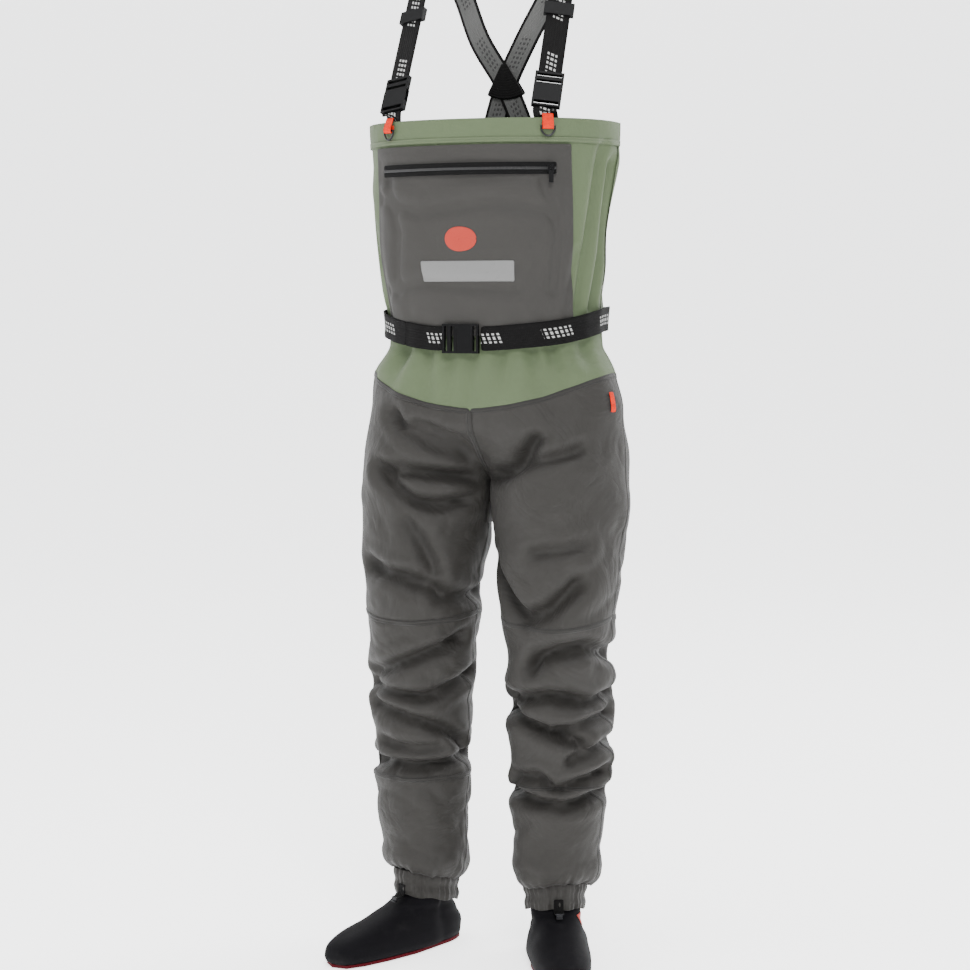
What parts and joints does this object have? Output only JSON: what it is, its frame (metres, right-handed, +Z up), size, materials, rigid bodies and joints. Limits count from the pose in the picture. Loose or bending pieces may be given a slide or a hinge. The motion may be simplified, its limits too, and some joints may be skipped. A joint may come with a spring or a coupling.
{
  "type": "chest waders",
  "caption": "Stockingfoot chest waders in sage and grey laminate, with braces, zipped chest pocket, waist belt, gravel guards and neoprene socks, standing.",
  "frame": {"origin": "middle of the bounding box, on the ground under the soles", "axes": "+Z up, the wearer faces -Y, the wearer's left is +X"},
  "size_m": [0.459, 0.3544, 1.6433],
  "materials": {
    "sage_cloth": "matte",
    "grey_cloth": "matte",
    "leg_cloth": "matte",
    "black_webbing": "matte",
    "black_plastic": "satin",
    "orange_ribbon": "satin",
    "dark_steel": "satin",
    "neoprene": "matte",
    "sole_rubber": "matte"
  },
  "bodies": {
    "garment": {"bib_front": "sage_cloth", "bib_back": "sage_cloth", "bib_hem_front": "sage_cloth", "bib_hem_back": "sage_cloth", "waist_front": "sage_cloth", "waist_back": "sage_cloth", "chest_pocket": "grey_cloth", "zip_tape_upper": "black_webbing", "zip_tape_lower": "black_webbing", "belt_webbing": "black_webbing", "belt_end": "black_webbing", "belt_loop": "black_webbing", "belt_buckle_socket": "black_plastic", "back_keeper": "black_webbing", "crotch_gusset": "leg_cloth", "brace_buckle_left_socket": "black_plastic", "brace_tab_left": "black_webbing", "brace_elastic_left": "black_webbing", "brace_back_left": "black_webbing", "ring_loop_left": "orange_ribbon", "thigh_front_left": "leg_cloth", "thigh_back_left": "leg_cloth", "shin_front_left": "leg_cloth", "shin_back_left": "leg_cloth", "gravel_guard_left": "leg_cloth", "guard_cuff_left": "leg_cloth", "sock_left": "neoprene", "sock_sole_left": "sole_rubber", "hook_tab_left": "black_webbing", "brace_buckle_right_socket": "black_plastic", "brace_tab_right": "black_webbing", "brace_elastic_right": "black_webbing", "brace_back_right": "black_webbing", "ring_loop_right": "orange_ribbon", "thigh_front_right": "leg_cloth", "thigh_back_right": "leg_cloth", "shin_front_right": "leg_cloth", "shin_back_right": "leg_cloth", "gravel_guard_right": "leg_cloth", "guard_cuff_right": "leg_cloth", "sock_right": "neoprene", "sock_sole_right": "sole_rubber", "hook_tab_right": "black_webbing"},
    "zip_slider_body": {"zip_slider": "black_plastic"},
    "zip_pull_body": {"zip_pull": "black_plastic"},
    "belt_plug": {"belt_buckle_plug": "black_plastic"},
    "belt_prong_a": {"belt_buckle_prong_a": "black_plastic"},
    "belt_prong_b": {"belt_buckle_prong_b": "black_plastic"},
    "brace_plug_left": {"brace_buckle_left_plug": "black_plastic"},
    "brace_prong_a_left": {"brace_buckle_left_prong_a": "black_plastic"},
    "brace_prong_b_left": {"brace_buckle_left_prong_b": "black_plastic"},
    "adjuster_left": {"brace_adjuster_left": "black_plastic"},
    "ring_left": {"accessory_ring_left": "dark_steel"},
    "hook_left": {"lace_hook_left": "dark_steel"},
    "brace_plug_right": {"brace_buckle_right_plug": "black_plastic"},
    "brace_prong_a_right": {"brace_buckle_right_prong_a": "black_plastic"},
    "brace_prong_b_right": {"brace_buckle_right_prong_b": "black_plastic"},
    "adjuster_right": {"brace_adjuster_right": "black_plastic"},
    "ring_right": {"accessory_ring_right": "dark_steel"},
    "hook_right": {"lace_hook_right": "dark_steel"}
  },
  "joints": [
    {"name": "zip_run", "type": "hinge", "parent": "garment", "child": "zip_slider_body", "pos_m": [0, 0.21091, 1.296], "axis": [0, 0, 1], "range_deg": [-51.2, 0]},
    {"name": "zip_pull_swing", "type": "hinge", "parent": "zip_slider_body", "child": "zip_pull_body", "pos_m": [0.14083, -0.08271, 1.297], "axis": [-0.9016, -0.4325, 0], "range_deg": [0, 150]},
    {"name": "belt_plug_slide", "type": "slide", "parent": "garment", "child": "belt_plug", "axis": [-1, 0, 0], "range_m": [0, 0.024], "deforming": ["belt_end"]},
    {"name": "belt_prong_a_press", "type": "hinge", "parent": "belt_plug", "child": "belt_prong_a", "pos_m": [-0.02004, -0.07511, 1.0395], "axis": [0, 1, 0], "range_deg": [0, 11], "stiffness_Nm_per_rad": 0.05},
    {"name": "belt_prong_b_press", "type": "hinge", "parent": "belt_plug", "child": "belt_prong_b", "pos_m": [-0.02004, -0.07511, 1.0145], "axis": [0, -1, 0], "range_deg": [0, 11], "stiffness_Nm_per_rad": 0.05},
    {"name": "brace_plug_left_slide", "type": "slide", "parent": "garment", "child": "brace_plug_left", "axis": [-0.0219, 0.4493, 0.8931], "range_m": [0, 0.024], "deforming": ["brace_elastic_left"]},
    {"name": "brace_prong_a_left_press", "type": "hinge", "parent": "brace_plug_left", "child": "brace_prong_a_left", "pos_m": [0.14032, -0.0595, 1.42257], "axis": [-0.3143, 0.8449, -0.4328], "range_deg": [0, 11], "stiffness_Nm_per_rad": 0.05},
    {"name": "brace_prong_b_left_press", "type": "hinge", "parent": "brace_plug_left", "child": "brace_prong_b_left", "pos_m": [0.11754, -0.06646, 1.42551], "axis": [0.3143, -0.8449, 0.4328], "range_deg": [0, 11], "stiffness_Nm_per_rad": 0.05},
    {"name": "adjuster_left_slide", "type": "slide", "parent": "garment", "child": "adjuster_left", "axis": [-0.0219, 0.4493, 0.8931], "range_m": [-0.07, 0.035]},
    {"name": "ring_left_swing", "type": "hinge", "parent": "garment", "child": "ring_left", "pos_m": [0.13538, -0.08234, 1.361], "axis": [-0.8806, -0.4738, 0], "range_deg": [0, 150]},
    {"name": "hook_left_swing", "type": "hinge", "parent": "garment", "child": "hook_left", "pos_m": [0.14584, -0.0439, 0.0876], "axis": [-0.9135, -0.4067, 0], "range_deg": [0, 100]},
    {"name": "brace_plug_right_slide", "type": "slide", "parent": "garment", "child": "brace_plug_right", "axis": [0.0219, 0.4493, 0.8931], "range_m": [0, 0.024], "deforming": ["brace_elastic_right"]},
    {"name": "brace_prong_a_right_press", "type": "hinge", "parent": "brace_plug_right", "child": "brace_prong_a_right", "pos_m": [-0.11754, -0.06646, 1.42551], "axis": [0.3143, 0.8449, -0.4328], "range_deg": [0, 11], "stiffness_Nm_per_rad": 0.05},
    {"name": "brace_prong_b_right_press", "type": "hinge", "parent": "brace_plug_right", "child": "brace_prong_b_right", "pos_m": [-0.14032, -0.0595, 1.42257], "axis": [-0.3143, -0.8449, 0.4328], "range_deg": [0, 11], "stiffness_Nm_per_rad": 0.05},
    {"name": "adjuster_right_slide", "type": "slide", "parent": "garment", "child": "adjuster_right", "axis": [0.0219, 0.4493, 0.8931], "range_m": [-0.07, 0.035]},
    {"name": "ring_right_swing", "type": "hinge", "parent": "garment", "child": "ring_right", "pos_m": [-0.13538, -0.08234, 1.361], "axis": [-0.8806, 0.4738, 0], "range_deg": [0, 150]},
    {"name": "hook_right_swing", "type": "hinge", "parent": "garment", "child": "hook_right", "pos_m": [-0.14584, -0.0439, 0.0876], "axis": [-0.9135, 0.4067, 0], "range_deg": [0, 100]}
  ],
  "couplings": [
    {"joint": "belt_prong_b_press", "follows": "belt_prong_a_press", "ratio": 1},
    {"joint": "brace_prong_b_left_press", "follows": "brace_prong_a_left_press", "ratio": 1},
    {"joint": "brace_prong_b_right_press", "follows": "brace_prong_a_right_press", "ratio": 1}
  ]
}
